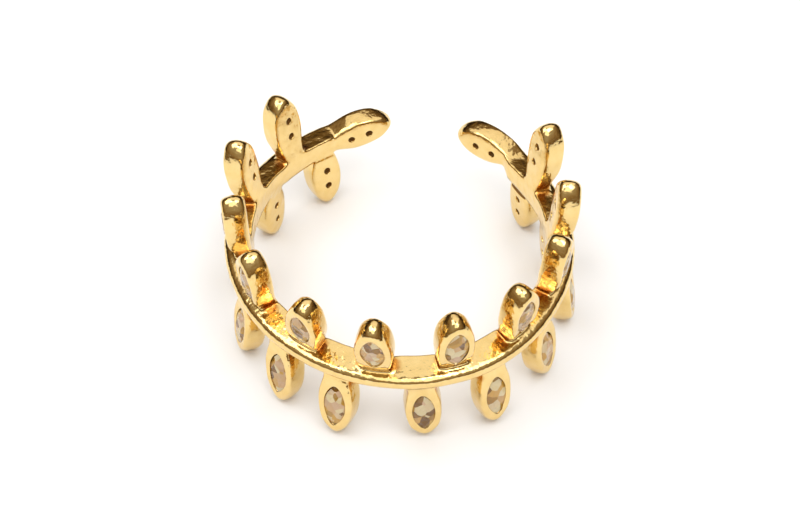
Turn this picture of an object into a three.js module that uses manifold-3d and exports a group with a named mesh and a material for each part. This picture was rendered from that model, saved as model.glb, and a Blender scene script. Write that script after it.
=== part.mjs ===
// Open laurel cuff ring: a cast stem band bent into an oval, with leaf-shaped stone settings that stand up
// and hang down from it by turns, one leaf at each end of the stem, and a pointed-oval stone in every leaf.
// Millimetres, +Z along the finger. The ring lies on the tips of its lower leaves, on the plane z = 0, with
// the middle leaf at the front (-Y) and the open ends at the back (+Y).

import * as THREE from 'three';
import { ConvexGeometry } from 'three/addons/geometries/ConvexGeometry.js';
import { mergeVertices } from 'three/addons/utils/BufferGeometryUtils.js';
import Module from 'manifold-3d';

const wasm = await Module();
wasm.setup();

// Inner wall of the bent stem: the finger side, never quite round on a cuff that was bent by hand.
// Angle in degrees round the finger, from the front, positive towards +X. Radius from the finger's axis.
const CUFF_WALL = [
  { angle: -168, radius: 9.15 },
  { angle: -140, radius: 8.85 },
  { angle: -110, radius: 8.65 },
  { angle: -80, radius: 8.55 },
  { angle: -50, radius: 8.55 },
  { angle: -25, radius: 8.75 },
  { angle: 0, radius: 9.1 },
  { angle: 25, radius: 9.22 },
  { angle: 50, radius: 8.95 },
  { angle: 80, radius: 8.63 },
  { angle: 110, radius: 8.58 },
  { angle: 140, radius: 8.78 },
  { angle: 168, radius: 9.05 },
];
const FRONT_ROW = CUFF_WALL.findIndex((row) => row.angle === 0);

// Stem band: tall against the finger, thinner towards its rim. Its middle line lies a little below the leaves'
// middle, and sags further over its last few millimetres at either end.
const STEM_REACH = 22.3;
const STEM_DEPTH = 1.7;
const STEM_HEIGHT_INSIDE = 1.25;
const STEM_SHOULDER_DEPTH = 1.2;
const STEM_HEIGHT_SHOULDER = 0.84;
const STEM_HEIGHT_OUTSIDE = 0.5;
const STEM_EDGE = 0.12;
const STEM_STEPS = 64;
const STEM_LOW = 0.15;
const END_SAG = 0.25;
const SAG_FROM = 15;
const SAG_TO = 20;

// Leaf settings
const LEAF_STEP = 3.8;
const LEAF_WIDTH = 2.14;
const LEAF_NECK = 1.5;
const END_LEAF_NECK = 1;
const LEAF_DEPTH = 1.4;
const LEAF_SETBACK = 0.05;
const LEAF_EDGE = 0.25;
const LEAF_EDGE_STEPS = 2;
const LEAF_WIDEST = 0.54;
const LEAF_BELLY = 0.23;
const LEAF_TIP_FULLNESS = 0.55;
const LEAF_CURVE_STEPS = 5;

// Stones and their seats
const STONE_LENGTH = 3.0;
const STONE_WIDTH = 1.4;
const STONE_CROWN = 0.18;
const STONE_PAVILION = 0.56;
const STONE_TABLE = 0.58;
const STONE_PROUD = 0.02;
const STONE_GIRDLE_STEPS = 4;
const STONE_FROM_TIP = 2.0;
const SEAT_CLEARANCE = 0.05;
const SEAT_DEPTH = 0.8;
const SEAT_MOUTH_STEPS = 6;
const PILOT_RADIUS = 0.18;
const PILOT_SPACING = 1.15;
const PILOT_SIDES = 6;
const CUT_OVERRUN = 0.5;

// How each leaf was bent. shift: along the stem from its even place, towards +X at the front.
// lean: degrees, in the leaf's own plane, the same way. flare: degrees outwards from the finger.
// reach: height of the tip above the stem's middle.
const UPPER_LEAVES = [
  { shift: -0.3, lean: 0, flare: 8, reach: 4.5 },
  { shift: -0.2, lean: 0, flare: 8, reach: 4.6 },
  { shift: 0, lean: 2, flare: 2, reach: 4.8 },
  { shift: 0, lean: 0, flare: 5, reach: 4.4 },
  { shift: -0.1, lean: 8, flare: 9, reach: 4.7 },
  { shift: 0, lean: 0, flare: 9, reach: 4.75 },
  { shift: 0, lean: 0, flare: 3, reach: 4.4 },
  { shift: 0, lean: -4, flare: 6, reach: 4.6 },
  { shift: 0, lean: -4, flare: 5, reach: 4.7 },
  { shift: 0, lean: 0, flare: 5, reach: 4.4 },
  { shift: 0.1, lean: 0, flare: 5, reach: 4.8 },
];

// The lower leaves all reach the table.
const LOWER_REACH = 4.93;
const FOOT_TRIM = 0.06;
const LOWER_LEAVES = [
  { shift: -0.55, lean: 0, flare: -8 },
  { shift: -0.2, lean: 0, flare: 1 },
  { shift: 0, lean: 0, flare: 4 },
  { shift: 0.85, lean: 0, flare: 8 },
  { shift: 0.25, lean: 7, flare: 10 },
  { shift: 0, lean: 3, flare: 12 },
  { shift: 0.3, lean: 3, flare: 4 },
  { shift: 0.15, lean: -2, flare: 10 },
  { shift: 0, lean: 0, flare: 8 },
  { shift: 0, lean: 0, flare: 8 },
  { shift: -0.2, lean: 0, flare: 4 },
  { shift: -0.5, lean: 0, flare: 3 },
];

// The two leaves along the stem's ends, each laid on the cuff at its middle.
// drop: how far its base lies below the other leaves' middle. lift: degrees its tip is raised.
const END_LEAVES = [
  { side: 'left', middle: -23.75, length: 4.4, drop: 0.6, lift: 8 },
  { side: 'right', middle: 23.35, length: 4.0, drop: 0.1, lift: 2 },
];

const FINGER_AXIS = new THREE.Vector3(0, 0, 1);
const gold = new THREE.MeshStandardMaterial({ color: 0xe6bd62, metalness: 1, roughness: 0.16 });
const crystal = new THREE.MeshStandardMaterial({ color: 0xe8e4e6, metalness: 0, roughness: 0.05 });

// A closed mesh as a solid for joining and cutting, and back.
function solidOf(geometry) {
  const bare = geometry.clone();
  bare.deleteAttribute('normal');
  bare.deleteAttribute('uv');
  const welded = mergeVertices(bare);
  return new wasm.Manifold(new wasm.Mesh({
    numProp: 3,
    vertProperties: welded.attributes.position.array,
    triVerts: welded.index.array,
  }));
}

function geometryOf(solid) {
  const mesh = solid.getMesh();
  const geometry = new THREE.BufferGeometry();
  geometry.setAttribute('position', new THREE.BufferAttribute(mesh.vertProperties, 3));
  geometry.setIndex(new THREE.BufferAttribute(mesh.triVerts, 1));
  geometry.computeVertexNormals();
  return geometry;
}

// The inner wall as a curve, and the length along it from its left end to the front.
const wallPoints = CUFF_WALL.map(({ angle, radius }) => {
  const turn = THREE.MathUtils.degToRad(angle);
  return new THREE.Vector3(radius * Math.sin(turn), -radius * Math.cos(turn), 0);
});
const wall = new THREE.CatmullRomCurve3(wallPoints);
const STEPS_PER_ROW = 40;
wall.arcLengthDivisions = STEPS_PER_ROW * (CUFF_WALL.length - 1);
const wallLength = wall.getLength();
const frontLength = wall.getLengths()[STEPS_PER_ROW * FRONT_ROW];

// Where an arc length from the front lies along the whole wall, from 0 to 1.
function alongWall(arc) {
  return (frontLength + arc) / wallLength;
}

// The stem's own stretch of the wall, lowered and sagging, for the band to follow.
class StemPath extends THREE.Curve {
  getPoint(t, target = new THREE.Vector3()) {
    const arc = THREE.MathUtils.lerp(-STEM_REACH, STEM_REACH, t);
    wall.getPointAt(alongWall(arc), target);
    target.z -= STEM_LOW + END_SAG * THREE.MathUtils.smoothstep(Math.abs(arc), SAG_FROM, SAG_TO);
    return target;
  }
}

// Section of the band, with x down along the finger and y in towards it, from its inner edge round the rim.
function stemSection() {
  const inside = STEM_HEIGHT_INSIDE / 2;
  const shoulder = STEM_HEIGHT_SHOULDER / 2;
  const outside = STEM_HEIGHT_OUTSIDE / 2;
  const section = new THREE.Shape();
  section.moveTo(-inside + STEM_EDGE, 0);
  section.lineTo(-inside, -STEM_EDGE);
  section.lineTo(-shoulder, -STEM_SHOULDER_DEPTH);
  section.lineTo(-outside, -STEM_DEPTH + STEM_EDGE);
  section.lineTo(-outside + STEM_EDGE, -STEM_DEPTH);
  section.lineTo(outside - STEM_EDGE, -STEM_DEPTH);
  section.lineTo(outside, -STEM_DEPTH + STEM_EDGE);
  section.lineTo(shoulder, -STEM_SHOULDER_DEPTH);
  section.lineTo(inside, -STEM_EDGE);
  section.lineTo(inside - STEM_EDGE, 0);
  section.closePath();
  return section;
}

function stemSolid() {
  const path = new StemPath();
  return solidOf(new THREE.ExtrudeGeometry(stemSection(), { steps: STEM_STEPS, extrudePath: path }));
}

// Outline of a leaf, from the stem's middle line at y = 0 up to its rounded tip.
function leafOutline(length, neckWidth) {
  const neck = neckWidth / 2;
  const half = LEAF_WIDTH / 2;
  const widest = LEAF_WIDEST * length;
  const belly = LEAF_BELLY * length;
  const outline = new THREE.Shape();
  outline.moveTo(-neck, 0);
  outline.lineTo(neck, 0);
  outline.bezierCurveTo(neck, belly, half, widest - belly, half, widest);
  outline.bezierCurveTo(half, widest + belly, LEAF_TIP_FULLNESS, length, 0, length);
  outline.bezierCurveTo(-LEAF_TIP_FULLNESS, length, -half, widest + belly, -half, widest);
  outline.bezierCurveTo(-half, widest - belly, -neck, belly, -neck, 0);
  return outline;
}

// Pointed oval of two arcs, as points that run round it from its lower point.
function pointedOval(length, width, steps) {
  const arcRadius = (length * length + width * width) / (4 * width);
  const sweep = Math.asin(length / 2 / arcRadius);
  const centre = arcRadius - width / 2;
  const right = new THREE.EllipseCurve(-centre, 0, arcRadius, arcRadius, -sweep, sweep).getPoints(steps);
  const left = right.map((point) => point.clone().negate());
  return [...right.slice(0, -1), ...left.slice(0, -1)];
}

// The recess for the stone, cut from the leaf's outer face.
function seatSolid(stoneAt) {
  const length = STONE_LENGTH + 2 * SEAT_CLEARANCE;
  const width = STONE_WIDTH + 2 * SEAT_CLEARANCE;
  const mouth = new THREE.Shape(pointedOval(length, width, SEAT_MOUTH_STEPS));
  const cut = new THREE.ExtrudeGeometry(mouth, { depth: SEAT_DEPTH + CUT_OVERRUN, bevelEnabled: false });
  cut.translate(0, stoneAt, LEAF_SETBACK + LEAF_DEPTH - SEAT_DEPTH);
  return solidOf(cut);
}

// The two holes drilled through the leaf's back, a little apart.
function pilotSolids(stoneAt) {
  const depth = LEAF_SETBACK + LEAF_DEPTH - SEAT_DEPTH / 2 + CUT_OVERRUN;
  return [-PILOT_SPACING / 2, PILOT_SPACING / 2].map((offset) => {
    const drill = new THREE.CylinderGeometry(PILOT_RADIUS, PILOT_RADIUS, depth, PILOT_SIDES);
    drill.rotateX(Math.PI / 2);
    drill.translate(0, stoneAt + offset, depth / 2 - CUT_OVERRUN);
    return solidOf(drill);
  });
}

// One leaf setting, standing on the finger side at z = 0 with its tip towards +y.
function leafSolid(length, neckWidth) {
  const stoneAt = length - STONE_FROM_TIP;
  const body = new THREE.ExtrudeGeometry(leafOutline(length, neckWidth), {
    depth: LEAF_DEPTH - 2 * LEAF_EDGE,
    curveSegments: LEAF_CURVE_STEPS,
    bevelThickness: LEAF_EDGE,
    bevelSize: LEAF_EDGE,
    bevelOffset: -LEAF_EDGE,
    bevelSegments: LEAF_EDGE_STEPS,
  });
  body.translate(0, 0, LEAF_SETBACK + LEAF_EDGE);
  const cuts = [seatSolid(stoneAt), ...pilotSolids(stoneAt)];
  return cuts.reduce((leaf, cut) => leaf.subtract(cut), solidOf(body));
}

// A cut stone: a flat table, crown facets down to the pointed girdle, and a pavilion to one low point.
function stoneGeometry() {
  const girdle = pointedOval(STONE_LENGTH, STONE_WIDTH, 2 * STONE_GIRDLE_STEPS);
  const table = pointedOval(STONE_LENGTH, STONE_WIDTH, STONE_GIRDLE_STEPS);
  const points = [
    ...girdle.map((point) => new THREE.Vector3(point.x, point.y, 0)),
    ...table.map((point) => new THREE.Vector3(point.x * STONE_TABLE, point.y * STONE_TABLE, STONE_CROWN)),
    new THREE.Vector3(0, 0, -STONE_PAVILION),
  ];
  return new ConvexGeometry(points);
}

// A group on the wall at an arc length from the front: x along the stem, y up the finger, z outwards,
// then turned about z so that y is the way the leaf grows.
function standOnWall(arc, turn) {
  const point = wall.getPointAt(alongWall(arc));
  const along = wall.getTangentAt(alongWall(arc));
  const outward = new THREE.Vector3().crossVectors(along, FINGER_AXIS);
  const stand = new THREE.Group();
  stand.position.copy(point);
  stand.quaternion.setFromRotationMatrix(new THREE.Matrix4().makeBasis(along, FINGER_AXIS, outward));
  stand.rotateZ(turn);
  return stand;
}

// The bent leaf inside its stand. A lower leaf is turned half round, so its lean changes sign there.
function bentLeaf(stand, flare, lean) {
  const leaf = new THREE.Group();
  leaf.rotation.set(THREE.MathUtils.degToRad(flare), 0, -THREE.MathUtils.degToRad(lean), 'XZY');
  stand.add(leaf);
  return leaf;
}

// Leaf length for a tip at the given reach, allowing for the edge of its thickness that reaches furthest.
function leafLength(reach, flare, lean) {
  const tilt = THREE.MathUtils.degToRad(flare);
  const furthest = LEAF_SETBACK + (flare > 0 ? LEAF_EDGE : LEAF_DEPTH - LEAF_EDGE);
  return (reach + furthest * Math.sin(tilt)) / (Math.cos(tilt) * Math.cos(THREE.MathUtils.degToRad(lean)));
}

const ring = new THREE.Group();
const leaves = [];

function addLeaf(name, stand, { flare, lean, length, neck }) {
  ring.add(stand);
  const leaf = bentLeaf(stand, flare, lean);
  const stone = new THREE.Mesh(stoneGeometry(), crystal);
  stone.name = name;
  stone.position.set(0, length - STONE_FROM_TIP, LEAF_SETBACK + LEAF_DEPTH + STONE_PROUD - STONE_CROWN);
  leaf.add(stone);
  leaves.push({ leaf, solid: leafSolid(length, neck) });
}

function numbered(row, index) {
  return `stone_${row}_${String(index + 1).padStart(2, '0')}`;
}

UPPER_LEAVES.forEach(({ shift, lean, flare, reach }, index) => {
  const arc = (index - (UPPER_LEAVES.length - 1) / 2) * LEAF_STEP + shift;
  const length = leafLength(reach, flare, lean);
  addLeaf(numbered('upper', index), standOnWall(arc, 0), { flare, lean, length, neck: LEAF_NECK });
});

LOWER_LEAVES.forEach(({ shift, lean, flare }, index) => {
  const arc = (index - (LOWER_LEAVES.length - 1) / 2) * LEAF_STEP + shift;
  const length = leafLength(LOWER_REACH, flare, lean);
  addLeaf(numbered('lower', index), standOnWall(arc, Math.PI), { flare, lean: -lean, length, neck: LEAF_NECK });
});

// An end leaf is turned a quarter round, so its x is up the finger on the left and down it on the right.
END_LEAVES.forEach(({ side, middle, length, drop, lift }) => {
  const down = Math.sign(middle);
  const stand = standOnWall(middle, -down * Math.PI / 2);
  stand.translateX(down * drop);
  stand.translateY(-length / 2);
  addLeaf(`stone_end_${side}`, stand, { flare: 0, lean: -down * lift, length, neck: END_LEAF_NECK });
});

// The casting: the stem and its leaves as one piece, with the lower tips trimmed level.
ring.updateMatrixWorld(true);
const FOOT_LEVEL = -(LOWER_REACH - FOOT_TRIM);
const TRIM_SIZE = 40;
const trim = new THREE.BoxGeometry(TRIM_SIZE, TRIM_SIZE, TRIM_SIZE).translate(0, 0, FOOT_LEVEL - TRIM_SIZE / 2);
const casting = leaves
  .map(({ leaf, solid }) => solidOf(geometryOf(solid).applyMatrix4(leaf.matrixWorld)))
  .reduce((joined, solid) => joined.add(solid), stemSolid())
  .subtract(solidOf(trim));
const band = new THREE.Mesh(geometryOf(casting), gold);
band.name = 'laurel_band';
ring.add(band);

// Stand the ring on its lower tips, centred over the origin.
const box = new THREE.Box3().setFromObject(band);
const middle = box.getCenter(new THREE.Vector3());
ring.position.set(-middle.x, -middle.y, -FOOT_LEVEL);

const part = new THREE.Group();
part.add(ring);

export default part;
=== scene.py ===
# %% [markdown]
# # An open laurel ring
#
# This lesson dresses a measured model of a finger ring. The ring is an open cuff in the form of a laurel
# twig: cast in one piece, polished, plated with gold, and set with a clear stone in every leaf. The
# measured model gives the place and the size of everything. Here the casting gets its soft poured edges,
# and the casting and the stones get their finish.
#
# The model is loaded first.

# %% Load the measured ring
import math

import bmesh
import bpy
import numpy as np
from mathutils import Matrix, Vector, noise
from mathutils.geometry import interpolate_bezier


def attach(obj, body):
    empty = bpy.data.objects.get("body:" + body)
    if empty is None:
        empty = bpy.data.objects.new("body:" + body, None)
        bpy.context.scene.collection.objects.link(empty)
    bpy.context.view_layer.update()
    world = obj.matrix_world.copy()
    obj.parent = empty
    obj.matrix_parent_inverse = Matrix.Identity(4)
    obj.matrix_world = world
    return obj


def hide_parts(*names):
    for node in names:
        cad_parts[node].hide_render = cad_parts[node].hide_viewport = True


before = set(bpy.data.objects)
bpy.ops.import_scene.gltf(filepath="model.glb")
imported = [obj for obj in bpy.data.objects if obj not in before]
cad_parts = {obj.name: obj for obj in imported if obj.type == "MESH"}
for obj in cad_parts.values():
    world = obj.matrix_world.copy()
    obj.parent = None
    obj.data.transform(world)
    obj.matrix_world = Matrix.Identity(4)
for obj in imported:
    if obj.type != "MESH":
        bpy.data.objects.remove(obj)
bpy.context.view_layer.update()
MM = 0.001

# %% [markdown]
# The camera stands where the photographer stood: a little to the right of the ring's front, looking down
# on it at about 48 degrees, and far enough away that the back of the ring is hardly smaller than the
# front. A camera in Blender looks along its own -Z, so its matrix is built from the three directions it
# needs. The middle of the ring's stem, in millimetres over the table, is the point that it is aimed by.

# %% Camera
IMAGE_WIDTH = 800
IMAGE_HEIGHT = 532
CAMERA_AZIMUTH = 7.0
CAMERA_ELEVATION = 48.0
CAMERA_DISTANCE = 95.0 * MM
PIXELS_PER_MM = 17.11
RING_PLACE = Vector((-0.09473, 0.49082, 4.87))
MIDDLE_ON_IMAGE = (399.3, 236.6)
SENSOR_WIDTH = 36
NEAREST_SEEN = 1 * MM

azimuth = math.radians(CAMERA_AZIMUTH)
elevation = math.radians(CAMERA_ELEVATION)
towards_camera = Vector((
    math.sin(azimuth) * math.cos(elevation),
    -math.cos(azimuth) * math.cos(elevation),
    math.sin(elevation),
))
camera_right = Vector((math.cos(azimuth), math.sin(azimuth), 0))
camera_up = towards_camera.cross(camera_right)

camera_data = bpy.data.cameras.new("photo_camera")
camera_data.sensor_fit = "HORIZONTAL"
camera_data.sensor_width = SENSOR_WIDTH
focal_pixels = PIXELS_PER_MM * CAMERA_DISTANCE / MM
camera_data.lens = focal_pixels / IMAGE_WIDTH * SENSOR_WIDTH
camera_data.shift_x = (IMAGE_WIDTH / 2 - MIDDLE_ON_IMAGE[0]) / IMAGE_WIDTH
camera_data.shift_y = (MIDDLE_ON_IMAGE[1] - IMAGE_HEIGHT / 2) / IMAGE_WIDTH
camera_data.clip_start = NEAREST_SEEN
camera = bpy.data.objects.new("photo_camera", camera_data)
bpy.context.scene.collection.objects.link(camera)
ring_middle = RING_PLACE * MM
turn = Matrix((camera_right, camera_up, towards_camera)).transposed().to_4x4()
camera.matrix_world = Matrix.Translation(ring_middle + towards_camera * CAMERA_DISTANCE) @ turn
bpy.context.scene.camera = camera
print("lens in mm:", round(camera_data.lens, 1))

# %% [markdown]
# Everything on the ring is laid out along the inner wall of the cuff, the side that touches the finger. A
# cuff that was bent by hand is never quite round, so a short table gives the wall's radius at a few
# angles, and Bezier curves run through those points. A handle that is a sixth of the way between a
# point's two neighbours keeps the wall smooth there. Lengths along the wall are counted from the front.

# %% The cuff's inner wall
CUFF_WALL = [
    {"angle": -168, "radius": 9.15},
    {"angle": -140, "radius": 8.85},
    {"angle": -110, "radius": 8.65},
    {"angle": -80, "radius": 8.55},
    {"angle": -50, "radius": 8.55},
    {"angle": -25, "radius": 8.75},
    {"angle": 0, "radius": 9.1},
    {"angle": 25, "radius": 9.22},
    {"angle": 50, "radius": 8.95},
    {"angle": 80, "radius": 8.63},
    {"angle": 110, "radius": 8.58},
    {"angle": 140, "radius": 8.78},
    {"angle": 168, "radius": 9.05},
]
FINGER_AXIS = Vector((0, 0, 1))
POINTS_PER_ROW = 40
HANDLE_DIVISOR = 6


def wall_knot(row):
    turned = math.radians(row["angle"])
    return Vector((math.sin(turned), -math.cos(turned), 0)) * row["radius"]


knots = [wall_knot(row) for row in CUFF_WALL]
guided = [2 * knots[0] - knots[1], *knots, 2 * knots[-1] - knots[-2]]
wall_points = [knots[0]]
for before, here, there, after in zip(guided, guided[1:], guided[2:], guided[3:]):
    leave = here + (there - before) / HANDLE_DIVISOR
    arrive = there - (after - here) / HANDLE_DIVISOR
    wall_points += interpolate_bezier(here, leave, arrive, there, POINTS_PER_ROW + 1)[1:]

steps = [(b - a).length for a, b in zip(wall_points, wall_points[1:])]
wall_arcs = np.concatenate([[0], np.cumsum(steps)])
front_row = next(index for index, row in enumerate(CUFF_WALL) if row["angle"] == 0)
wall_arcs -= wall_arcs[front_row * POINTS_PER_ROW]
print("wall length in mm:", round(wall_arcs[-1] - wall_arcs[0], 2))

# %% [markdown]
# A place on the wall is a matrix: along the stem, the way the leaf grows, and outwards from the finger.
# The upper leaves grow up the finger, the lower leaves down it, and the two end leaves along the stem
# itself. Each leaf was bent a little by hand as well, outwards (flare) and sideways (lean).

# %% Places on the wall
TANGENT_STEP = 0.05


def wall_point(arc):
    return Vector([np.interp(arc, wall_arcs, [point[axis] for point in wall_points]) for axis in range(3)])


def wall_along(arc):
    return (wall_point(arc + TANGENT_STEP) - wall_point(arc - TANGENT_STEP)).normalized()


def place(across, growing, outward, at):
    return Matrix.Translation(at) @ Matrix((across, growing, outward)).transposed().to_4x4()


def side_leaf_place(arc, growing, flare, lean):
    along = wall_along(arc)
    stand = place(along, growing, along.cross(FINGER_AXIS), wall_point(arc))
    bent = Matrix.Rotation(math.radians(flare), 4, "X") @ Matrix.Rotation(-math.radians(lean), 4, "Z")
    return stand @ bent


def end_leaf_place(middle, length, drop, lift):
    along = wall_along(middle)
    growing = along * math.copysign(1, middle)
    stand = place(FINGER_AXIS, growing, along.cross(FINGER_AXIS), wall_point(middle))
    lifted = Matrix.Rotation(-math.radians(lift), 4, "Z")
    return stand @ Matrix.Translation((-drop, -length / 2, 0)) @ lifted


front_outward = wall_along(0).cross(FINGER_AXIS)
print("outwards at the front:", [round(part, 2) for part in front_outward])

# %% [markdown]
# The leaves are listed in short tables, left end to right end: how far each sits from its even place
# along the stem, how it leans and flares, and how high its tip reaches. "rows" says which rows of the
# leaf's section, further down, a leaf uses: a leaf that takes up more of the stem's depth has more. At
# its neck an upper leaf is shallower than at its stone, like a pod on its stalk.

# %% The upper leaves
UPPER_LEAVES = [
    {"shift": -0.3, "lean": 0, "flare": 8, "reach": 4.5},
    {"shift": -0.2, "lean": 0, "flare": 8, "reach": 4.6},
    {"shift": 0, "lean": 2, "flare": 2, "reach": 4.8},
    {"shift": 0, "lean": 0, "flare": 5, "reach": 4.4},
    {"shift": -0.1, "lean": 8, "flare": 9, "reach": 4.7},
    {"shift": 0, "lean": 0, "flare": 9, "reach": 4.75},
    {"shift": 0, "lean": 0, "flare": 3, "reach": 4.4},
    {"shift": 0, "lean": -4, "flare": 6, "reach": 4.6},
    {"shift": 0, "lean": -4, "flare": 5, "reach": 4.7},
    {"shift": 0, "lean": 0, "flare": 5, "reach": 4.4},
    {"shift": 0.1, "lean": 0, "flare": 5, "reach": 4.8},
]
UPPER_NECK = {"width": 1.5, "level": 0.8, "depth_share": 0.74}
UPPER_ROWS = (0, 1, 3, 5, 6)
print("upper leaves:", len(UPPER_LEAVES))

# %% [markdown]
# The lower leaves hang half a step along from the upper ones, on narrower necks, and all reach the table.
# The last one meets the stem in an open groove that the pour didn't quite fill, so it has a neck of its
# own.

# %% The lower leaves
LOWER_LEAVES = [
    {"shift": -0.55, "lean": 0, "flare": -8},
    {"shift": -0.2, "lean": 0, "flare": 1},
    {"shift": 0, "lean": 0, "flare": 4},
    {"shift": 0.85, "lean": 0, "flare": 8},
    {"shift": 0.25, "lean": 7, "flare": 10},
    {"shift": 0, "lean": 3, "flare": 12},
    {"shift": 0.3, "lean": 3, "flare": 4},
    {"shift": 0.15, "lean": -2, "flare": 10},
    {"shift": 0, "lean": 0, "flare": 8},
    {"shift": 0, "lean": 0, "flare": 8},
    {"shift": -0.2, "lean": 0, "flare": 4},
    {"shift": -0.5, "lean": 0, "flare": 3},
]
LOWER_REACH = 4.77
LOWER_NECK = {"width": 1.15, "level": 1.15, "depth_share": 0.96}
GROOVED_NECK = {"width": 1.6, "level": 1.45, "depth_share": 1, "groove": 0.35}
LOWER_ROWS = (0, 1, 2, 4, 5, 6)
print("lower leaves:", len(LOWER_LEAVES))

# %% [markdown]
# An end leaf lies along the stem. Its row gives the middle of the leaf on the wall, how far its base is
# dropped, and by how many degrees its tip is lifted.

# %% The end leaves
END_LEAVES = [
    {"side": "left", "middle": -23.75, "length": 4.4, "drop": 0.6, "lift": 8},
    {"side": "right", "middle": 23.35, "length": 4.0, "drop": 0.1, "lift": 2},
]
END_NECK = {"width": 1.0, "level": 0.75, "depth_share": 1}
END_ROWS = (0, 1, 2, 3, 4, 5, 6)
print("end leaves:", len(END_LEAVES))

# %% [markdown]
# Now every leaf gets its place. A flared leaf reaches furthest at an edge of its tip and not at its
# middle, so its length is worked out from that edge.

# %% Put the leaves in place
LEAF_STEP = 3.8
LEAF_DEPTH = 1.4
LEAF_SETBACK = 0.05
LEAF_EDGE = 0.25


def leaf_length(reach, flare, lean):
    tilt = math.radians(flare)
    furthest = LEAF_SETBACK + (LEAF_EDGE if flare > 0 else LEAF_DEPTH - LEAF_EDGE)
    return (reach + furthest * math.sin(tilt)) / (math.cos(tilt) * math.cos(math.radians(lean)))


def side_leaf(row, index, count, facing, reach, neck, rows):
    arc = (index - (count - 1) / 2) * LEAF_STEP + row["shift"]
    return {
        "arc": arc,
        "facing": facing,
        "length": leaf_length(reach, row["flare"], row["lean"]),
        "place": side_leaf_place(arc, FINGER_AXIS * facing, row["flare"], row["lean"]),
        "neck": neck,
        "rows": rows,
    }


side_leaves = {}
for index, row in enumerate(UPPER_LEAVES):
    leaf = side_leaf(row, index, len(UPPER_LEAVES), 1, row["reach"], UPPER_NECK, UPPER_ROWS)
    side_leaves[f"upper_{index + 1:02d}"] = leaf
for index, row in enumerate(LOWER_LEAVES):
    leaf = side_leaf(row, index, len(LOWER_LEAVES), -1, LOWER_REACH, LOWER_NECK, LOWER_ROWS)
    side_leaves[f"lower_{index + 1:02d}"] = leaf
side_leaves["lower_12"]["neck"] = GROOVED_NECK
end_leaves = {}
for row in END_LEAVES:
    leaf_at = end_leaf_place(row["middle"], row["length"], row["drop"], row["lift"])
    end_leaves[f"end_{row['side']}"] = {
        "length": row["length"],
        "place": leaf_at,
        "neck": END_NECK,
        "rows": END_ROWS,
    }
leaves = {**side_leaves, **end_leaves}
print("leaves:", len(leaves))

# %% [markdown]
# The casting could be modelled as a stem and twenty-five separate leaves pushed into it, but then every
# leaf would meet the stem in a hard line. Poured metal runs round such corners, so the casting here is
# one cage for a subdivision surface. It starts as a small grid of three corners by seven, which is the
# tip of the left end leaf. Extruding that grid again and again draws the twig out from tip to tip.
#
# Two functions say where the corners of a loop go. "side" counts the three corners across, from -1 to 1,
# and "depth" the seven corners from the finger side outwards. The stem is a half-round wire: tall and
# flat against the finger, rolling over to a blunt rim. Its middle line lies a little low, and sags at
# both ends.

# %% Section of the stem
STEM_SECTION = [
    {"depth": 0.02, "half_height": 0.68},
    {"depth": 0.30, "half_height": 0.64},
    {"depth": 0.58, "half_height": 0.59},
    {"depth": 0.85, "half_height": 0.54},
    {"depth": 1.10, "half_height": 0.49},
    {"depth": 1.44, "half_height": 0.45},
    {"depth": 1.66, "half_height": 0.25},
]
LAST = len(STEM_SECTION) - 1
STEM_BULGE = 0.03
STEM_LOW = 0.15
END_SAG = 0.25
SAG_FROM = 15
SAG_TO = 20


def stem_middle(arc):
    share = min(max((abs(arc) - SAG_FROM) / (SAG_TO - SAG_FROM), 0), 1)
    # The cubic eases the sag in and out.
    return -STEM_LOW - END_SAG * share * share * (3 - 2 * share)


def stem_corner(arc, side, depth):
    row = STEM_SECTION[depth]
    out = row["depth"]
    if side == 0:
        out += {0: -STEM_BULGE, LAST: STEM_BULGE}.get(depth, 0)
    outward = wall_along(arc).cross(FINGER_AXIS)
    height = stem_middle(arc) + side * row["half_height"]
    return wall_point(arc) + outward * out + FINGER_AXIS * height


print("stem, deep and tall in mm:", STEM_SECTION[LAST]["depth"], 2 * STEM_SECTION[0]["half_height"])

# %% [markdown]
# A leaf is a pod with soft edges, so its section says for each depth what share of the full outline is
# left, and how far the tip has fallen there. The leaf is a stack of seven loops. Two of them lie level
# with the pilot holes in its back, and the last one is its tip, whose middle corners rise to a rounded
# point. Where the stem sags, the first loop of a lower leaf goes down with it.

# %% Section and levels of a leaf
LEAF_WIDTH = 2.14
LEAF_WIDEST = 0.54
LEAF_BELLY = 0.23
LEAF_TIP_FULLNESS = 0.72
LEAF_SECTION = [
    {"depth": 0.05, "share": 0.86, "tip_fall": 0.42},
    {"depth": 0.26, "share": 0.98, "tip_fall": 0.12},
    {"depth": 0.52, "share": 1.0, "tip_fall": 0.03},
    {"depth": 0.78, "share": 1.0, "tip_fall": 0},
    {"depth": 1.02, "share": 1.0, "tip_fall": 0.04},
    {"depth": 1.24, "share": 0.98, "tip_fall": 0.16},
    {"depth": 1.45, "share": 0.92, "tip_fall": 0.42},
]
TIP_RISE = 0.36
TIP_BREADTH = 1.25
CURVE_POINTS = 24
STONE_FROM_TIP = 2.0
PILOT_SPACING = 1.15
PANEL_FOOT = 1.2
PANEL_HEAD = 1.15
TIP_LOOP_DROP = 0.22
NECK_ROOM = 3.5
LOWER_PILOT_LEVEL = 2
UPPER_PILOT_LEVEL = 4
TIP_LEVEL = 6


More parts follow.
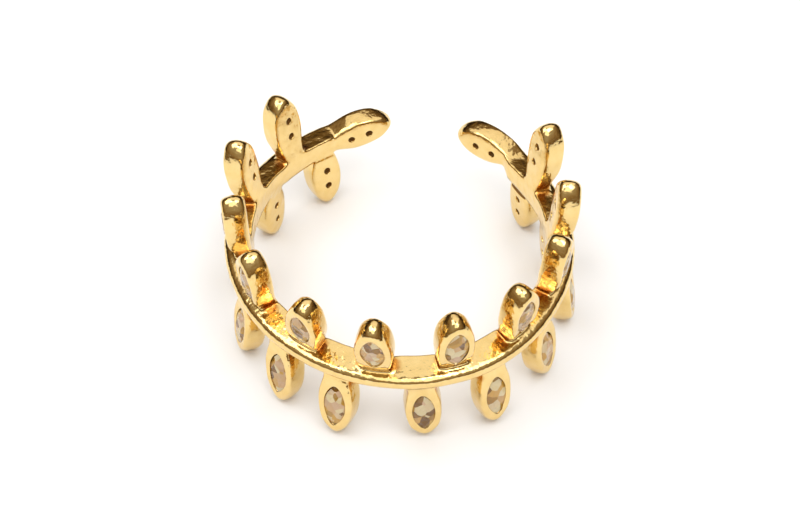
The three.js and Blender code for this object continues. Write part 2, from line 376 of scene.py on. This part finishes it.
def leaf_half_width(leaf, height):
    length = leaf["length"]
    neck = Vector((leaf["neck"]["width"] / 2, 0, 0))
    widest = Vector((LEAF_WIDTH / 2, LEAF_WIDEST * length, 0))
    tip = Vector((0, length, 0))
    belly = Vector((0, LEAF_BELLY * length, 0))
    fullness = Vector((LEAF_TIP_FULLNESS, 0, 0))
    lower = interpolate_bezier(neck, neck + belly, widest - belly, widest, CURVE_POINTS)
    upper = interpolate_bezier(widest, widest + belly, tip + fullness, tip, CURVE_POINTS)
    outline = [*lower, *upper[1:]]
    return float(np.interp(height, [point.y for point in outline], [point.x for point in outline]))


def leaf_levels(leaf):
    length = leaf["length"]
    stone_at = length - STONE_FROM_TIP
    neck_at = leaf["neck"]["level"]
    if leaf.get("facing") == -1:
        neck_at += stem_middle(0) - stem_middle(leaf["arc"])
    return [
        min(neck_at, length - NECK_ROOM),
        stone_at - PANEL_FOOT,
        stone_at - PILOT_SPACING / 2,
        stone_at,
        stone_at + PILOT_SPACING / 2,
        stone_at + PANEL_HEAD,
        length - TIP_LOOP_DROP,
    ]


def leaf_corner(leaf, level, side, depth):
    row = LEAF_SECTION[leaf["rows"][depth]]
    height = leaf_levels(leaf)[level]
    across = side * row["share"] * leaf_half_width(leaf, height)
    out = row["depth"]
    if level == 0:
        out *= leaf["neck"]["depth_share"]
        if depth == 0:
            out += leaf["neck"].get("groove", 0)
    if level == TIP_LEVEL:
        across *= TIP_BREADTH
        height -= row["tip_fall"]
        if side == 0:
            height += leaf["length"] + TIP_RISE - leaf_levels(leaf)[level]
    return leaf["place"] @ Vector((across, height, out))


first_levels = [round(level, 2) for level in leaf_levels(side_leaves["upper_01"])]
print("levels of the first upper leaf in mm:", first_levels)

# %% [markdown]
# Now the stem's own stations: three for the neck of every leaf, one between necks that stand far apart,
# and one at the right, where the stem runs on a little before its end leaf. Two necks that meet share a
# station.

# %% Stations along the stem
NECK_HALF = 0.7
WIDE_GAP = 0.9
SNUG_GAP = 0.15
STEM_RIGHT_END = 21.5

stations = []
for leaf in sorted(side_leaves.values(), key=lambda leaf: leaf["arc"]):
    start = leaf["arc"] - NECK_HALF
    gap = start - stations[-1] if stations else SNUG_GAP
    if gap < SNUG_GAP:
        start = start - gap / 2
        stations.pop()
    elif gap > WIDE_GAP:
        stations.append(start - gap / 2)
    leaf["station"] = len(stations) + 1
    stations += [start, leaf["arc"], leaf["arc"] + NECK_HALF]
stations.append(STEM_RIGHT_END)
print("stations:", len(stations))

# %% [markdown]
# Each corner carries its side, depth and level as whole numbers in layers of the mesh. An extrusion
# copies them to the new corners, so a corner can always be asked where it belongs.

# %% Layers of the casting
casting = bmesh.new()
SIDE = casting.verts.layers.int.new("side")
DEPTH = casting.verts.layers.int.new("depth")
LEVEL = casting.verts.layers.int.new("level")
STATION = casting.verts.layers.int.new("station")
UNBUFFED_AND_SHADED = casting.verts.layers.float.new("unbuffed_and_shaded")
CREASE = casting.edges.layers.float.new("crease_edge")


def pick(result, kind):
    return [item for item in result["geom"] if isinstance(item, kind)]


def draw_out(patch):
    edges = list(dict.fromkeys(edge for face in patch for edge in face.edges))
    result = bmesh.ops.extrude_face_region(casting, geom=patch + edges)
    return pick(result, bmesh.types.BMFace), pick(result, bmesh.types.BMVert)


def by_corner(corners):
    return {(corner[SIDE], corner[DEPTH]): corner for corner in corners}


def set_leaf_loop(corners, leaf, level):
    for corner in corners:
        corner[LEVEL] = level
        corner.co = leaf_corner(leaf, level, corner[SIDE], corner[DEPTH])
    leaf.setdefault("loops", {})[level] = by_corner(corners)


print("layers on the corners:", casting.verts.layers.int.keys() + casting.verts.layers.float.keys())

# %% [markdown]
# The twig is drawn out: the left end leaf from its tip to its neck, then the stem from station to
# station, and then the right end leaf from its neck to its tip.

# %% Draw the twig out
left, right = end_leaves["end_left"], end_leaves["end_right"]
corners = bmesh.ops.create_grid(casting, x_segments=2, y_segments=LAST, size=1)["verts"]
for corner in corners:
    corner[SIDE] = round(corner.co.x)
    corner[DEPTH] = round((corner.co.y + 1) * LAST / 2)
set_leaf_loop(corners, left, TIP_LEVEL)
patch = casting.faces[:]

for level in reversed(range(TIP_LEVEL)):
    patch, corners = draw_out(patch)
    set_leaf_loop(corners, left, level)

stem_loops = []
for station, arc in enumerate(stations):
    patch, corners = draw_out(patch)
    for corner in corners:
        corner[STATION] = station
        corner.co = stem_corner(arc, corner[SIDE], corner[DEPTH])
    stem_loops.append(by_corner(corners))

for level in range(TIP_LEVEL + 1):
    patch, corners = draw_out(patch)
    set_leaf_loop(corners, right, level)
print("twig faces:", len(casting.faces))

# %% [markdown]
# The side leaves are pulled out of the stem in the same way. An upper leaf takes eight faces of the
# stem's top, two along by four deep, a lower leaf ten of its underside, and they are extruded loop by
# loop. The faces beyond them are left alone, so that the rim runs on in front of every leaf. The
# smoothing turns the corner between leaf and stem into a fillet.

# %% Pull the side leaves out


def face_between(*corners):
    return next(face for face in corners[0].link_faces if all(corner in face.verts for corner in corners))


def neck_patch(leaf):
    loops = stem_loops[leaf["station"] - 1:leaf["station"] + 2]
    edge = leaf["facing"]
    return [
        face_between(a[edge, depth], a[edge, depth + 1], b[edge, depth], b[edge, depth + 1])
        for a, b in zip(loops, loops[1:])
        for depth in range(len(leaf["rows"]) - 1)
    ]


for leaf in side_leaves.values():
    patch = neck_patch(leaf)
    for level in range(TIP_LEVEL + 1):
        patch, corners = draw_out(patch)
        if level == 0:
            for corner in corners:
                corner[SIDE] = corner[STATION] - leaf["station"]
        set_leaf_loop(corners, leaf, level)
print("casting faces:", len(casting.faces))

# %% [markdown]
# A buffing wheel doesn't reach into the corners at the foot of a leaf, and there the gold mirrors gold and
# lies in shade. The corners of the cage on both flanks of each neck are marked for it in a layer of their
# own. The mesh keeps that layer as an attribute, which fades out over the next faces, and the gold plate
# reads it further down: there the plate is duller, with a painted shade and painted reflection in red
# gold.

# %% Mark the leaf feet for dull plate and painted shade
for leaf in side_leaves.values():
    feet = {-1: stem_loops[leaf["station"] - 1], 1: stem_loops[leaf["station"] + 1]}
    for side, foot in feet.items():
        for depth in range(1, len(leaf["rows"]) - 1):
            foot[leaf["facing"], depth][UNBUFFED_AND_SHADED] = 1
            leaf["loops"][0][side, depth][UNBUFFED_AND_SHADED] = 1
print("corners out of the buff's reach:", sum(corner[UNBUFFED_AND_SHADED] > 0 for corner in casting.verts))

# %% [markdown]
# Each leaf is a cup for its stone. The twelve faces of its outer side are inset, the inner corners are
# moved on to a pointed oval, and the patch is pushed in, loop by loop, to make the seat. The mouth is a
# little narrower than the stone and the loop below it a little wider: that is the rim which the setter
# burnished over the stone's edge to hold it.

# %% Sink the seats
STONE_LENGTH = 3.0
STONE_WIDTH = 1.4
RIM_INSET = 0.15
SEAT_LOOPS = [
    {"drop": 0.06, "spare": -0.11},
    {"drop": 0.17, "spare": 0.02},
    {"drop": 0.4, "spare": 0.03},
    {"drop": 0.8, "spare": -0.25},
]


def pointed_oval(share, length, width):
    radius = (length * length + width * width) / (4 * width)
    sweep = math.asin(length / 2 / radius)
    angle = (2 * share - 1) * sweep
    return radius * math.cos(angle) - radius + width / 2, radius * math.sin(angle)


def leaf_panel(leaf, depth):
    loops = leaf["loops"]
    return [
        face_between(*(loops[n][s, depth] for n in (level, level + 1) for s in (side, side + 1)))
        for level in range(TIP_LEVEL)
        for side in (-1, 0)
    ]


def corners_of(faces):
    return list(dict.fromkeys(corner for face in faces for corner in face.verts))


def seat_corner(leaf, side, level, loop):
    # The levels spread evenly along the oval, whose two points belong to the middle corners.
    share = (level + 1) / (TIP_LEVEL + 2)
    if side == 0:
        share = {0: 0, TIP_LEVEL: 1}.get(level, share)
    x, y = pointed_oval(share, STONE_LENGTH + 2 * loop["spare"], STONE_WIDTH + 2 * loop["spare"])
    front = LEAF_SECTION[-1]["depth"]
    return leaf["place"] @ Vector((side * x, leaf["length"] - STONE_FROM_TIP + y, front - loop["drop"]))


for leaf in leaves.values():
    panel = leaf_panel(leaf, len(leaf["rows"]) - 1)
    bmesh.ops.inset_region(casting, faces=panel, thickness=RIM_INSET, use_even_offset=True)
    corners = corners_of(panel)
    for step, loop in enumerate(SEAT_LOOPS):
        if step > 0:
            panel, corners = draw_out(panel)
        for corner in corners:
            corner.co = seat_corner(leaf, corner[SIDE], corner[LEVEL], loop)
print("faces with seats:", len(casting.faces))

# %% [markdown]
# The back of each leaf shows two small pilot holes, drilled before the stone was set. A corner on its
# middle line is bevelled into a small face, which is pushed in: the smoothing makes its four sides round.
# The holes take the second material of the casting, a darker, duller brown plate.

# %% Drill the pilot holes
PILOT_MOUTH = 0.36
PILOT_LIP = 0.04
PILOT_DEPTH = 0.5
DARK_DULL_INDEX = 1

for leaf in leaves.values():
    for level in (LOWER_PILOT_LEVEL, UPPER_PILOT_LEVEL):
        spot = leaf["loops"][level][0, 0]
        made = bmesh.ops.bevel(
            casting, geom=[spot], offset=PILOT_MOUTH, offset_type="OFFSET", affect="VERTICES",
            segments=1, profile=0.5, material=-1,
        )
        mouth = made["faces"]
        bmesh.ops.inset_region(casting, faces=mouth, thickness=PILOT_LIP, use_even_offset=True)
        mouth, corners = draw_out(mouth)
        bmesh.ops.translate(casting, verts=corners, vec=leaf["place"].col[2].xyz * PILOT_DEPTH)
        for face in {face for corner in corners for face in corner.link_faces}:
            face.material_index = DARK_DULL_INDEX
print("faces with holes:", len(casting.faces))

# %% [markdown]
# No casting is quite true: the wax shrinks, and the file and the tumbler round it here and there. A soft
# noise, read at each corner of the cage, moves the corners by a few hundredths of a millimetre. The eye
# doesn't see the dents themselves, but the reflections in the polished gold bend and break over them.
# Blender seeds this noise by the clock, so it gets a fixed seed, and the dents are the same in every run.

# %% Make the casting a little uneven
DENT_SPACING = 1.1
DENT_DEPTH = 0.045
DENT_SEED = 1

noise.seed_set(DENT_SEED)
for corner in casting.verts:
    corner.co += noise.noise_vector(corner.co / DENT_SPACING) * DENT_DEPTH
print("corners moved:", len(casting.verts))

# %% [markdown]
# Between the leaves the stem keeps a fairly sharp inner edge. A crease on those edges of the cage holds
# the smoothing back there. Under the necks there is no crease, so that the leaves run into the stem. The
# grooved neck is the exception. The rim's two edges are creased a little, all along.

# %% Crease the stem's edges
INNER_CREASE = 0.5
RIM_CREASE = 0.15
neck_spans = {
    (leaf["facing"], leaf["station"] + step)
    for leaf in side_leaves.values()
    for step in (-1, 0)
    if leaf["neck"] is not GROOVED_NECK
}
creased = 0
for station, (here, there) in enumerate(zip(stem_loops, stem_loops[1:])):
    for side in (-1, 1):
        casting.edges.get([here[side, LAST], there[side, LAST]])[CREASE] = RIM_CREASE
        if (side, station) not in neck_spans:
            casting.edges.get([here[side, 0], there[side, 0]])[CREASE] = INNER_CREASE
            creased += 1
print("creased inner edges:", creased)

# %% [markdown]
# The groove at the last lower leaf keeps crisp edges in the same way, and its walls take the darker,
# duller
# brown plate: a painted shade in the crevice.

# %% Sharpen the open groove
GROOVE_CREASE = 0.8
grooved = side_leaves["lower_12"]
neck, below = grooved["loops"][0], grooved["loops"][1]
for side in (-1, 0):
    here, there = (stem_loops[grooved["station"] + side + step] for step in (0, 1))
    stem_edge = here[grooved["facing"], 0], there[grooved["facing"], 0]
    bottom = neck[side, 0], neck[side + 1, 0]
    leaf_edge = below[side, 0], below[side + 1, 0]
    for edge in (bottom, leaf_edge):
        casting.edges.get(edge)[CREASE] = GROOVE_CREASE
    for edge in (stem_edge, leaf_edge):
        # The groove's walls take the dark dull plate: painted shade.
        face_between(*edge, *bottom).material_index = DARK_DULL_INDEX
print("groove at the leaf on the stem at mm:", round(grooved["arc"], 2))

# %% [markdown]
# The cage is moved to its place over the table, scaled from millimetres to metres and handed to a mesh.
# Two levels of subdivision smooth it. The casting stands for the plain solid of the measured model, which
# stays in the background for collisions, hidden.

# %% Finish the casting
SMOOTH_LEVELS = 2

bmesh.ops.recalc_face_normals(casting, faces=casting.faces)
bmesh.ops.translate(casting, verts=casting.verts, vec=RING_PLACE)
bmesh.ops.scale(casting, verts=casting.verts, vec=(MM, MM, MM))
for face in casting.faces:
    face.smooth = True
casting_mesh = bpy.data.meshes.new("laurel_casting")
casting.to_mesh(casting_mesh)
casting.free()
laurel_casting = bpy.data.objects.new("laurel_casting", casting_mesh)
bpy.context.scene.collection.objects.link(laurel_casting)
smoothing = laurel_casting.modifiers.new("poured_edges", "SUBSURF")
smoothing.levels = SMOOTH_LEVELS
smoothing.render_levels = SMOOTH_LEVELS
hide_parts("laurel_band")
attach(laurel_casting, "root")
smoothed = laurel_casting.evaluated_get(bpy.context.evaluated_depsgraph_get()).data
smoothed.calc_loop_triangles()
heights = [vertex.co.z / MM for vertex in smoothed.vertices]
print("casting triangles:", len(smoothed.loop_triangles))
print("lowest and highest point in mm:", round(min(heights), 3), round(max(heights), 3))

# %% [markdown]
# Materials come next. Colours are written as the hex values one reads on a screen, and one function turns
# them into the linear light values that Blender mixes, along the standard screen curve. Another adds a
# node with its settings and links, and one more lays a table of tones on a colour ramp.

# %% Helpers for materials


def linear(hex_colour):
    channels = [int(hex_colour[index:index + 2], 16) / 255 for index in (1, 3, 5)]
    light = [c / 12.92 if c <= 0.04045 else ((c + 0.055) / 1.055) ** 2.4 for c in channels]
    return (*light, 1)


def add_node(tree, kind, inputs=None, **settings):
    node = tree.nodes.new("ShaderNode" + kind)
    for name, value in settings.items():
        setattr(node, name, value)
    for socket, value in (inputs or {}).items():
        if isinstance(value, bpy.types.NodeSocket):
            tree.links.new(value, node.inputs[socket])
        else:
            node.inputs[socket].default_value = value
    return node


def lay_tones(ramp, rows):
    stops = ramp.elements
    for row in rows[len(stops):]:
        stops.new(row["at"])
    for stop, row in zip(stops, rows):
        stop.position = row["at"]
        stop.color = linear(row["tone"])


def new_material(name):
    material = bpy.data.materials.new(name)
    material.use_nodes = True
    material.node_tree.nodes.clear()
    return material, material.node_tree


print("screen mid grey in linear light:", round(linear("#808080")[0], 3))

# %% [markdown]
# Gold plate over cast brass, tumbled and buffed. The eye sees a pale yellow mirror that is never quite
# even: the skin of the casting is lumpy, so reflections break into bright and dark flecks, and the
# tumbling leaves a fine grain that softens them. Both are given by a width and a height in millimetres.
# The real grain is finer and is drawn as coarse as it needs to show. At the foot of the leaves, out of the
# buff's reach, the plate is duller, and a redder, darker colour is painted on in patches that follow the
# lumps: painted shade and painted reflection of gold in gold.

# %% Gold plate, colour
LUMP_SIZE = 0.55 * MM
LUMP_HEIGHT = 0.055 * MM
GRAIN_SIZE = 0.2 * MM
GRAIN_HEIGHT = 0.006 * MM
GOLD_PALE = "#F6DA9C"
GOLD_DEEP = "#E8C67C"
GOLD_PAINTED_SHADE = "#CC8A3A"
SHADE_FROM = 0.1
SHADE_FULL = 0.42
gold_plate, tree = new_material("gold_plate_tumbled")
where = add_node(tree, "TexCoord").outputs["Object"]
lumps = add_node(tree, "TexNoise", {"Vector": where, "Scale": 1 / LUMP_SIZE, "Detail": 2})
grain = add_node(tree, "TexNoise", {"Vector": where, "Scale": 1 / GRAIN_SIZE, "Detail": 2})
buffed = add_node(
    tree, "Mix", {"Factor": lumps.outputs["Fac"], "A": linear(GOLD_PALE), "B": linear(GOLD_DEEP)},
    data_type="RGBA",
)
# The leaf feet: duller plate, and a painted shade and painted reflection in a redder gold.
shaded_feet = add_node(tree, "Attribute", attribute_name="unbuffed_and_shaded").outputs["Fac"]
shade_blotches = add_node(tree, "Math", {0: shaded_feet, 1: lumps.outputs["Fac"]}, operation="MULTIPLY")
dull_and_shade = add_node(
    tree, "MapRange",
    {"Value": shade_blotches.outputs["Value"], "From Min": SHADE_FROM, "From Max": SHADE_FULL},
)
# Painted shade: the redder, darker gold laid over the leaf feet.
colour = add_node(
    tree, "Mix",
    {"Factor": dull_and_shade.outputs["Result"], "A": buffed.outputs["Result"], "B": linear(GOLD_PAINTED_SHADE)},
    data_type="RGBA",
)
print("gold plate, lumps of mm:", LUMP_SIZE / MM)

# %% [markdown]
# The grain of the tumbling sets how sharp the mirror is, and the mask at the leaf feet dulls it. Lumps and
# grain are bumps, one laid over the other. A noise seldom leaves the middle of its range, so only that
# part of it is spread out.

# %% Gold plate, surface
DULLING = 0.12
NOISE_LOW = 0.3
NOISE_HIGH = 0.7
BEST_POLISH = 0.08
WORST_POLISH = 0.18
polish = add_node(
    tree, "MapRange",
    {
        "Value": grain.outputs["Fac"],
        "From Min": NOISE_LOW,
        "From Max": NOISE_HIGH,
        "To Min": BEST_POLISH,
        "To Max": WORST_POLISH,
    },
)
gloss = add_node(
    tree, "Math", {0: dull_and_shade.outputs["Result"], 1: DULLING, 2: polish.outputs["Result"]},
    operation="MULTIPLY_ADD",
)
lumpy = add_node(tree, "Bump", {"Height": lumps.outputs["Fac"], "Strength": 1.0, "Distance": LUMP_HEIGHT})
grainy = add_node(
    tree, "Bump",
    {
        "Height": grain.outputs["Fac"],
        "Strength": 1.0,
        "Distance": GRAIN_HEIGHT,
        "Normal": lumpy.outputs["Normal"],
    },
)
metal = add_node(
    tree, "BsdfPrincipled",
    {
        "Base Color": colour.outputs["Result"],
        "Metallic": 1.0,
        "Roughness": gloss.outputs["Value"],
        "Normal": grainy.outputs["Normal"],
    },
)
add_node(tree, "OutputMaterial", {"Surface": metal.outputs["BSDF"]})
laurel_casting.data.materials.append(gold_plate)
print("gold plate nodes:", len(tree.nodes))

# %% [markdown]
# Inside the pilot holes the plating is dull and darker brown, in patches. It is the same metal, rough, and
# less metallic where the patches are darkest. In the groove at the last lower leaf the same plate is
# painted shade.

# %% Dull, dark brown plate
DARK_PATCH_SIZE = 0.12 * MM
PATCH_FROM = 0.4
PATCH_FULL = 0.6
BARE_METAL = 0.8
dark_dull_plate, tree = new_material("brass_dull_dark")
where = add_node(tree, "TexCoord").outputs["Object"]
dark_patches = add_node(tree, "TexNoise", {"Vector": where, "Scale": 1 / DARK_PATCH_SIZE, "Detail": 3})
colour = add_node(
    tree, "Mix", {"Factor": dark_patches.outputs["Fac"], "A": linear("#B98A48"), "B": linear("#6E4C20")},
    data_type="RGBA",
)
bare = add_node(
    tree, "MapRange",
    {
        "Value": dark_patches.outputs["Fac"],
        "From Min": PATCH_FROM,
        "From Max": PATCH_FULL,
        "To Min": BARE_METAL,
        "To Max": 0,
    },
)
dull = add_node(
    tree, "BsdfPrincipled",
    {"Base Color": colour.outputs["Result"], "Metallic": bare.outputs["Result"], "Roughness": 0.6},
)
add_node(tree, "OutputMaterial", {"Surface": dull.outputs["BSDF"]})
laurel_casting.data.materials.append(dark_dull_plate)
print("casting materials:", [material.name for material in laurel_casting.data.materials])

# %% [markdown]
# The stones are cubic zirconia, cut and polished. The measured stone has the main facets. The small ones
# between them are drawn as shallow cells of a Voronoi pattern. Each small facet throws back another bit
# of the cup and the room, so each cell is painted with a tone of its own: painted reflections of the brown
# dark cup, of the gold and of cream light, and the pink of the stone itself. The real refractive index is
# about 2.15. With that value a pale veil of reflections lies over these tones, so a lower one is used.

# %% Cubic zirconia
CLOUD_SIZE = 0.9 * MM
FACET_SIZE = 0.5 * MM
FACET_HEIGHT = 0.1 * MM
STONE_REFLECTION_TONES = [
    {"at": 0.08, "tone": "#8A5E22"},
    {"at": 0.36, "tone": "#EAB650"},
    {"at": 0.6, "tone": "#ECC49C"},
    {"at": 0.82, "tone": "#FFEBB8"},
]
STONE_INDEX = 1.6
CLEAR_SHARE = 0.4
BEST_STONE_POLISH = 0.01
WORST_STONE_POLISH = 0.05
zirconia, tree = new_material("cubic_zirconia_cut")
where = add_node(tree, "TexCoord").outputs["Object"]
clouds = add_node(tree, "TexNoise", {"Vector": where, "Scale": 1 / CLOUD_SIZE, "Detail": 1})
polish = add_node(
    tree, "MapRange",
    {
        "Value": clouds.outputs["Fac"],
        "From Min": NOISE_LOW,
        "From Max": NOISE_HIGH,
        "To Min": BEST_STONE_POLISH,
        "To Max": WORST_STONE_POLISH,
    },
)
cells = add_node(tree, "TexVoronoi", {"Vector": where, "Scale": 1 / FACET_SIZE})
chance = add_node(tree, "SeparateColor", {"Color": cells.outputs["Color"]}).outputs["Red"]
# Painted reflections: each facet cell takes one tone of the table.
reflection_tone = add_node(tree, "ValToRGB", {"Fac": chance})
lay_tones(reflection_tone.color_ramp, STONE_REFLECTION_TONES)
facets = add_node(
    tree, "Bump", {"Height": cells.outputs["Distance"], "Strength": 1.0, "Distance": FACET_HEIGHT},
)
gem = add_node(
    tree, "BsdfPrincipled",
    {
        "Base Color": reflection_tone.outputs["Color"],
        "Roughness": polish.outputs["Result"],
        "IOR": STONE_INDEX,
        "Transmission Weight": CLEAR_SHARE,
        "Normal": facets.outputs["Normal"],
    },
)
add_node(tree, "OutputMaterial", {"Surface": gem.outputs["BSDF"]})
stones = [node for name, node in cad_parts.items() if name.startswith("stone_")]
for stone in stones:
    stone.data.materials.clear()
    stone.data.materials.append(zirconia)
print("stones:", len(stones))

# %% [markdown]
# The ring lies on a plain white sheet. A mirror shows its surroundings more than itself, so they matter
# as much as the gold: a white sheet below, pale panels above, and a dark room between them, low down all
# round. The sheet is matt paper, far larger than the ring.

# %% Sheet
SHEET_SIZE = 400 * MM
sheet = bmesh.new()
bmesh.ops.create_grid(sheet, x_segments=1, y_segments=1, size=SHEET_SIZE / 2)
sheet_mesh = bpy.data.meshes.new("paper_sheet")
sheet.to_mesh(sheet_mesh)
sheet.free()
paper_sheet = bpy.data.objects.new("paper_sheet", sheet_mesh)
bpy.context.scene.collection.objects.link(paper_sheet)
paper, tree = new_material("white_paper")
matt = add_node(tree, "BsdfPrincipled", {"Base Color": linear("#F6F5F4"), "Roughness": 0.9})
add_node(tree, "OutputMaterial", {"Surface": matt.outputs["BSDF"]})
sheet_mesh.materials.append(paper)
print("sheet in mm:", round(SHEET_SIZE / MM))

# %% [markdown]
# The sheet is lit evenly by a white world. What the metal mirrors is kept apart from that light: to a
# mirrored ray the world is a room, near black low down at the far end and paler towards the near end and
# the ceiling. The tone depends on how far a ray points along an axis that leans towards the camera's
# side. The far edges of the leaves and of the stem pick up the dark end, which draws their outlines.

# %% World
EVEN_LIGHT = 0.6
ROOM_LIGHT = 1.0
ROOM_AXIS = Vector((0, -0.3, 0.95))
ROOM_TONES = [
    {"at": 0.0, "tone": "#2A1C10"},
    {"at": 0.2, "tone": "#66502F"},
    {"at": 0.45, "tone": "#8E775A"},
    {"at": 0.75, "tone": "#A89E8E"},
    {"at": 1.0, "tone": "#8A8074"},
]
world = bpy.data.worlds.new("studio")
bpy.context.scene.world = world
world.use_nodes = True
tree = world.node_tree
tree.nodes.clear()
path = add_node(tree, "LightPath")
even = add_node(tree, "Background", {"Color": linear("#FFFEFD"), "Strength": EVEN_LIGHT})
direction = add_node(tree, "TexCoord").outputs["Generated"]
height = add_node(tree, "VectorMath", {0: direction, 1: ROOM_AXIS}, operation="DOT_PRODUCT")
tones = add_node(tree, "ValToRGB", {"Fac": height.outputs["Value"]})
lay_tones(tones.color_ramp, ROOM_TONES)
room = add_node(tree, "Background", {"Color": tones.outputs["Color"], "Strength": ROOM_LIGHT})
seen = add_node(
    tree, "MixShader",
    {0: path.outputs["Is Glossy Ray"], 1: even.outputs["Background"], 2: room.outputs["Background"]},
)
add_node(tree, "OutputWorld", {"Surface": seen.outputs["Shader"]})
print("tones of the room:", len(ROOM_TONES))

# %% [markdown]
# Four soft panels light the ring from above and give the gold its bright fields, and two small lamps give
# it sparks. Each faces the ring from a direction and at a distance in millimetres. A panel's power is
# worked out from how bright its face should look, because Blender asks for watts. The picture is shown
# with the plain screen curve, so that white paper stays white.

# %% Panels and lamps
PANEL_DISTANCE = 150
LIGHTS = [
    {"name": "panel_back", "azimuth": 180, "elevation": 62, "width": 220, "height": 130, "radiance": 0.75},
    {"name": "panel_front", "azimuth": 7, "elevation": 62, "width": 120, "height": 110, "radiance": 1.3},
    {"name": "panel_left", "azimuth": -78, "elevation": 60, "width": 90, "height": 80, "radiance": 2.4},
    {"name": "panel_right", "azimuth": 66, "elevation": 66, "width": 80, "height": 70, "radiance": 2.4},
    {"name": "lamp_left", "azimuth": -35, "elevation": 75, "width": 16, "height": 16, "radiance": 9},
    {"name": "lamp_right", "azimuth": 45, "elevation": 62, "width": 14, "height": 14, "radiance": 9},
]
for row in LIGHTS:
    turned = math.radians(row["azimuth"])
    raised = math.radians(row["elevation"])
    towards = Vector((
        math.sin(turned) * math.cos(raised),
        -math.cos(turned) * math.cos(raised),
        math.sin(raised),
    ))
    lamp = bpy.data.lights.new(row["name"], "AREA")
    lamp.shape = "RECTANGLE"
    lamp.size = row["width"] * MM
    lamp.size_y = row["height"] * MM
    lamp.energy = row["radiance"] * math.pi * lamp.size * lamp.size_y
    holder = bpy.data.objects.new(row["name"], lamp)
    bpy.context.scene.collection.objects.link(holder)
    holder.location = ring_middle + towards * PANEL_DISTANCE * MM
    holder.rotation_euler = towards.to_track_quat("Z", "Y").to_euler()
bpy.context.scene.view_settings.view_transform = "Standard"
print("lights:", len(LIGHTS))
